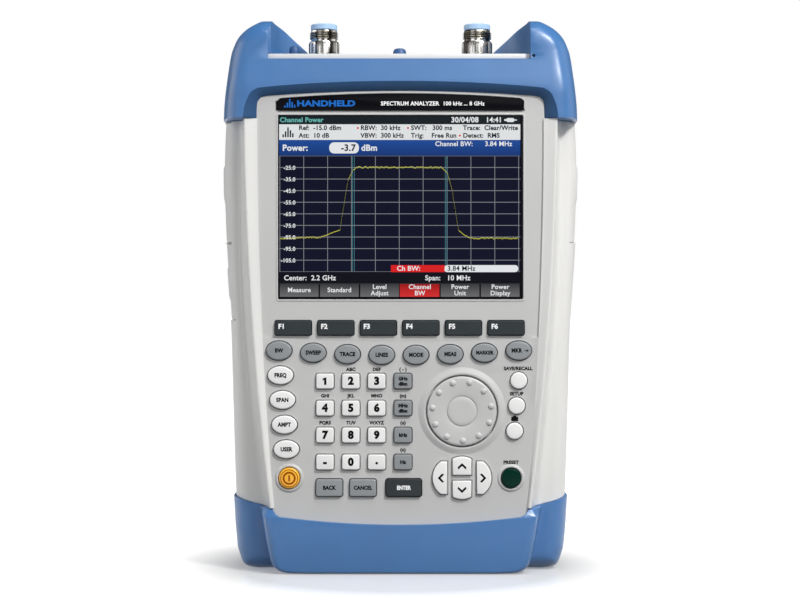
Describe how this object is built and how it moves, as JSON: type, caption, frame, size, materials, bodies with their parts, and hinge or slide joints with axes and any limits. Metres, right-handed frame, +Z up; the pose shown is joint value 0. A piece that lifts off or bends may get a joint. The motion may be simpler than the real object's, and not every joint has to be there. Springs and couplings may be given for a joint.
{
  "type": "handheld spectrum analyzer",
  "caption": "Handheld RF spectrum analyzer with a colour screen, keypad, selection wheel, two blue bumpers, N-type ports on top and a folding stand behind.",
  "frame": {"origin": "middle of the underside, on the surface the instrument stands on", "axes": "+Z up along the long side, +X right as seen by someone reading the screen, the screen faces -Y"},
  "size_m": [0.1964, 0.069, 0.3],
  "materials": {
    "case_grey": "fine-grained moulded light grey plastic",
    "bumper_blue": "satin blue elastomer",
    "window_black": "clear hard-coated window with a black border",
    "lcd_dark": "screen panel in its dark frame",
    "board_green": "populated boards and shield cans",
    "mat_rubber": "silicone key mat",
    "battery_black": "shrink-wrapped cell pack",
    "connector_metal": "nickel-plated brass",
    "screw_steel": "plated steel",
    "wheel_grey": "satin light grey plastic",
    "flap_grey": "soft-touch light grey cover",
    "cap_blue": "pale blue dust plug",
    "cap_dark_blue": "dark blue rubber cap",
    "key_amber": "amber key with a darker printed ring",
    "key_green": "very dark green key",
    "key_slate": "dark slate key with white legends",
    "key_grey": "mid grey key with dark legends",
    "key_white": "near-white key with dark legends"
  },
  "bodies": {
    "chassis": {"front_housing": "case_grey", "rear_housing": "case_grey", "top_bumper": "bumper_blue", "bottom_bumper": "bumper_blue", "display_window": "window_black", "lcd_module": "lcd_dark", "circuit_boards": "board_green", "keypad_mat": "mat_rubber", "battery_pack": "battery_black", "rf_connectors": "connector_metal", "screws": "screw_steel"},
    "jog_wheel": {"jog_wheel": "wheel_grey"},
    "tilt_stand": {"tilt_stand": "case_grey"},
    "battery_cover": {"battery_cover": "case_grey"},
    "left_upper_flap": {"left_upper_flap": "flap_grey"},
    "left_lower_flap": {"left_lower_flap": "flap_grey"},
    "right_flap": {"right_flap": "flap_grey"},
    "rf_cap_left": {"rf_cap_left": "cap_blue"},
    "rf_cap_right": {"rf_cap_right": "cap_blue"},
    "aux_caps": {"aux_caps": "cap_dark_blue"},
    "key_f1": {"key_f1": "key_slate"},
    "key_f2": {"key_f2": "key_slate"},
    "key_f3": {"key_f3": "key_slate"},
    "key_f4": {"key_f4": "key_slate"},
    "key_f5": {"key_f5": "key_slate"},
    "key_f6": {"key_f6": "key_slate"},
    "key_bw": {"key_bw": "key_grey"},
    "key_sweep": {"key_sweep": "key_grey"},
    "key_trace": {"key_trace": "key_grey"},
    "key_lines": {"key_lines": "key_grey"},
    "key_mode": {"key_mode": "key_grey"},
    "key_meas": {"key_meas": "key_grey"},
    "key_marker": {"key_marker": "key_grey"},
    "key_marker_to": {"key_marker_to": "key_grey"},
    "key_freq": {"key_freq": "key_white"},
    "key_span": {"key_span": "key_white"},
    "key_ampt": {"key_ampt": "key_white"},
    "key_user": {"key_user": "key_white"},
    "key_1": {"key_1": "key_white"},
    "key_2": {"key_2": "key_white"},
    "key_3": {"key_3": "key_white"},
    "key_4": {"key_4": "key_white"},
    "key_5": {"key_5": "key_white"},
    "key_6": {"key_6": "key_white"},
    "key_7": {"key_7": "key_white"},
    "key_8": {"key_8": "key_white"},
    "key_9": {"key_9": "key_white"},
    "key_minus": {"key_minus": "key_white"},
    "key_0": {"key_0": "key_white"},
    "key_point": {"key_point": "key_white"},
    "key_left": {"key_left": "key_white"},
    "key_up": {"key_up": "key_white"},
    "key_down": {"key_down": "key_white"},
    "key_right": {"key_right": "key_white"},
    "key_power": {"key_power": "key_amber"},
    "key_preset": {"key_preset": "key_green"},
    "key_enter": {"key_enter": "key_slate"},
    "back_cancel_keys": {"back_cancel_keys": "key_grey"},
    "unit_keys": {"unit_keys": "key_grey"},
    "round_keys": {"round_keys": "key_white"}
  },
  "joints": [
    {"name": "wheel_turn", "type": "hinge", "parent": "chassis", "child": "jog_wheel", "pos_m": [0.033, -0.025, 0.0877], "axis": [0, -1, 0], "continuous": true},
    {"name": "stand_swing", "type": "hinge", "parent": "chassis", "child": "tilt_stand", "pos_m": [0, 0.0318, 0.232], "axis": [1, 0, 0], "range_deg": [0, 35]},
    {"name": "battery_cover_lift", "type": "slide", "parent": "chassis", "child": "battery_cover", "axis": [0, 1, 0], "range_m": [0, 0.04]},
    {"name": "left_upper_flap_open", "type": "hinge", "parent": "chassis", "child": "left_upper_flap", "pos_m": [-0.0956, 0.026, 0.2118], "axis": [0, 0, -1], "range_deg": [0, 100]},
    {"name": "left_lower_flap_open", "type": "hinge", "parent": "chassis", "child": "left_lower_flap", "pos_m": [-0.0942, 0.026, 0.1573], "axis": [0, 0, -1], "range_deg": [0, 100]},
    {"name": "right_flap_open", "type": "hinge", "parent": "chassis", "child": "right_flap", "pos_m": [0.0956, 0.026, 0.2118], "axis": [0, 0, 1], "range_deg": [0, 100]},
    {"name": "rf_cap_left_pull", "type": "slide", "parent": "chassis", "child": "rf_cap_left", "axis": [0, 0, 1], "range_m": [0, 0.02]},
    {"name": "rf_cap_right_pull", "type": "slide", "parent": "chassis", "child": "rf_cap_right", "axis": [0, 0, 1], "range_m": [0, 0.02]},
    {"name": "aux_caps_pull", "type": "slide", "parent": "chassis", "child": "aux_caps", "axis": [0, 0, 1], "range_m": [0, 0.02]},
    {"name": "f1_press", "type": "slide", "parent": "chassis", "child": "key_f1", "axis": [0, 1, 0], "range_m": [0, 0.0012], "stiffness_N_per_m": 300, "springref_m": -0.003},
    {"name": "f2_press", "type": "slide", "parent": "chassis", "child": "key_f2", "axis": [0, 1, 0], "range_m": [0, 0.0012], "stiffness_N_per_m": 300, "springref_m": -0.003},
    {"name": "f3_press", "type": "slide", "parent": "chassis", "child": "key_f3", "axis": [0, 1, 0], "range_m": [0, 0.0012], "stiffness_N_per_m": 300, "springref_m": -0.003},
    {"name": "f4_press", "type": "slide", "parent": "chassis", "child": "key_f4", "axis": [0, 1, 0], "range_m": [0, 0.0012], "stiffness_N_per_m": 300, "springref_m": -0.003},
    {"name": "f5_press", "type": "slide", "parent": "chassis", "child": "key_f5", "axis": [0, 1, 0], "range_m": [0, 0.0012], "stiffness_N_per_m": 300, "springref_m": -0.003},
    {"name": "f6_press", "type": "slide", "parent": "chassis", "child": "key_f6", "axis": [0, 1, 0], "range_m": [0, 0.0012], "stiffness_N_per_m": 300, "springref_m": -0.003},
    {"name": "bw_press", "type": "slide", "parent": "chassis", "child": "key_bw", "axis": [0, 1, 0], "range_m": [0, 0.0012], "stiffness_N_per_m": 300, "springref_m": -0.003},
    {"name": "sweep_press", "type": "slide", "parent": "chassis", "child": "key_sweep", "axis": [0, 1, 0], "range_m": [0, 0.0012], "stiffness_N_per_m": 300, "springref_m": -0.003},
    {"name": "trace_press", "type": "slide", "parent": "chassis", "child": "key_trace", "axis": [0, 1, 0], "range_m": [0, 0.0012], "stiffness_N_per_m": 300, "springref_m": -0.003},
    {"name": "lines_press", "type": "slide", "parent": "chassis", "child": "key_lines", "axis": [0, 1, 0], "range_m": [0, 0.0012], "stiffness_N_per_m": 300, "springref_m": -0.003},
    {"name": "mode_press", "type": "slide", "parent": "chassis", "child": "key_mode", "axis": [0, 1, 0], "range_m": [0, 0.0012], "stiffness_N_per_m": 300, "springref_m": -0.003},
    {"name": "meas_press", "type": "slide", "parent": "chassis", "child": "key_meas", "axis": [0, 1, 0], "range_m": [0, 0.0012], "stiffness_N_per_m": 300, "springref_m": -0.003},
    {"name": "marker_press", "type": "slide", "parent": "chassis", "child": "key_marker", "axis": [0, 1, 0], "range_m": [0, 0.0012], "stiffness_N_per_m": 300, "springref_m": -0.003},
    {"name": "marker_to_press", "type": "slide", "parent": "chassis", "child": "key_marker_to", "axis": [0, 1, 0], "range_m": [0, 0.0012], "stiffness_N_per_m": 300, "springref_m": -0.003},
    {"name": "freq_press", "type": "slide", "parent": "chassis", "child": "key_freq", "axis": [0, 1, 0], "range_m": [0, 0.0012], "stiffness_N_per_m": 300, "springref_m": -0.003},
    {"name": "span_press", "type": "slide", "parent": "chassis", "child": "key_span", "axis": [0, 1, 0], "range_m": [0, 0.0012], "stiffness_N_per_m": 300, "springref_m": -0.003},
    {"name": "ampt_press", "type": "slide", "parent": "chassis", "child": "key_ampt", "axis": [0, 1, 0], "range_m": [0, 0.0012], "stiffness_N_per_m": 300, "springref_m": -0.003},
    {"name": "user_press", "type": "slide", "parent": "chassis", "child": "key_user", "axis": [0, 1, 0], "range_m": [0, 0.0012], "stiffness_N_per_m": 300, "springref_m": -0.003},
    {"name": "1_press", "type": "slide", "parent": "chassis", "child": "key_1", "axis": [0, 1, 0], "range_m": [0, 0.0012], "stiffness_N_per_m": 300, "springref_m": -0.003},
    {"name": "2_press", "type": "slide", "parent": "chassis", "child": "key_2", "axis": [0, 1, 0], "range_m": [0, 0.0012], "stiffness_N_per_m": 300, "springref_m": -0.003},
    {"name": "3_press", "type": "slide", "parent": "chassis", "child": "key_3", "axis": [0, 1, 0], "range_m": [0, 0.0012], "stiffness_N_per_m": 300, "springref_m": -0.003},
    {"name": "4_press", "type": "slide", "parent": "chassis", "child": "key_4", "axis": [0, 1, 0], "range_m": [0, 0.0012], "stiffness_N_per_m": 300, "springref_m": -0.003},
    {"name": "5_press", "type": "slide", "parent": "chassis", "child": "key_5", "axis": [0, 1, 0], "range_m": [0, 0.0012], "stiffness_N_per_m": 300, "springref_m": -0.003},
    {"name": "6_press", "type": "slide", "parent": "chassis", "child": "key_6", "axis": [0, 1, 0], "range_m": [0, 0.0012], "stiffness_N_per_m": 300, "springref_m": -0.003},
    {"name": "7_press", "type": "slide", "parent": "chassis", "child": "key_7", "axis": [0, 1, 0], "range_m": [0, 0.0012], "stiffness_N_per_m": 300, "springref_m": -0.003},
    {"name": "8_press", "type": "slide", "parent": "chassis", "child": "key_8", "axis": [0, 1, 0], "range_m": [0, 0.0012], "stiffness_N_per_m": 300, "springref_m": -0.003},
    {"name": "9_press", "type": "slide", "parent": "chassis", "child": "key_9", "axis": [0, 1, 0], "range_m": [0, 0.0012], "stiffness_N_per_m": 300, "springref_m": -0.003},
    {"name": "minus_press", "type": "slide", "parent": "chassis", "child": "key_minus", "axis": [0, 1, 0], "range_m": [0, 0.0012], "stiffness_N_per_m": 300, "springref_m": -0.003},
    {"name": "0_press", "type": "slide", "parent": "chassis", "child": "key_0", "axis": [0, 1, 0], "range_m": [0, 0.0012], "stiffness_N_per_m": 300, "springref_m": -0.003},
    {"name": "point_press", "type": "slide", "parent": "chassis", "child": "key_point", "axis": [0, 1, 0], "range_m": [0, 0.0012], "stiffness_N_per_m": 300, "springref_m": -0.003},
    {"name": "left_press", "type": "slide", "parent": "chassis", "child": "key_left", "axis": [0, 1, 0], "range_m": [0, 0.0012], "stiffness_N_per_m": 300, "springref_m": -0.003},
    {"name": "up_press", "type": "slide", "parent": "chassis", "child": "key_up", "axis": [0, 1, 0], "range_m": [0, 0.0012], "stiffness_N_per_m": 300, "springref_m": -0.003},
    {"name": "down_press", "type": "slide", "parent": "chassis", "child": "key_down", "axis": [0, 1, 0], "range_m": [0, 0.0012], "stiffness_N_per_m": 300, "springref_m": -0.003},
    {"name": "right_press", "type": "slide", "parent": "chassis", "child": "key_right", "axis": [0, 1, 0], "range_m": [0, 0.0012], "stiffness_N_per_m": 300, "springref_m": -0.003},
    {"name": "power_press", "type": "slide", "parent": "chassis", "child": "key_power", "axis": [0, 1, 0], "range_m": [0, 0.0012], "stiffness_N_per_m": 300, "springref_m": -0.003},
    {"name": "preset_press", "type": "slide", "parent": "chassis", "child": "key_preset", "axis": [0, 1, 0], "range_m": [0, 0.0012], "stiffness_N_per_m": 300, "springref_m": -0.003},
    {"name": "enter_press", "type": "slide", "parent": "chassis", "child": "key_enter", "axis": [0, 1, 0], "range_m": [0, 0.0012], "stiffness_N_per_m": 300, "springref_m": -0.003},
    {"name": "back_cancel_press", "type": "slide", "parent": "chassis", "child": "back_cancel_keys", "axis": [0, 1, 0], "range_m": [0, 0.0012], "stiffness_N_per_m": 300, "springref_m": -0.003},
    {"name": "unit_press", "type": "slide", "parent": "chassis", "child": "unit_keys", "axis": [0, 1, 0], "range_m": [0, 0.0012], "stiffness_N_per_m": 300, "springref_m": -0.003},
    {"name": "round_press", "type": "slide", "parent": "chassis", "child": "round_keys", "axis": [0, 1, 0], "range_m": [0, 0.0012], "stiffness_N_per_m": 300, "springref_m": -0.003}
  ]
}
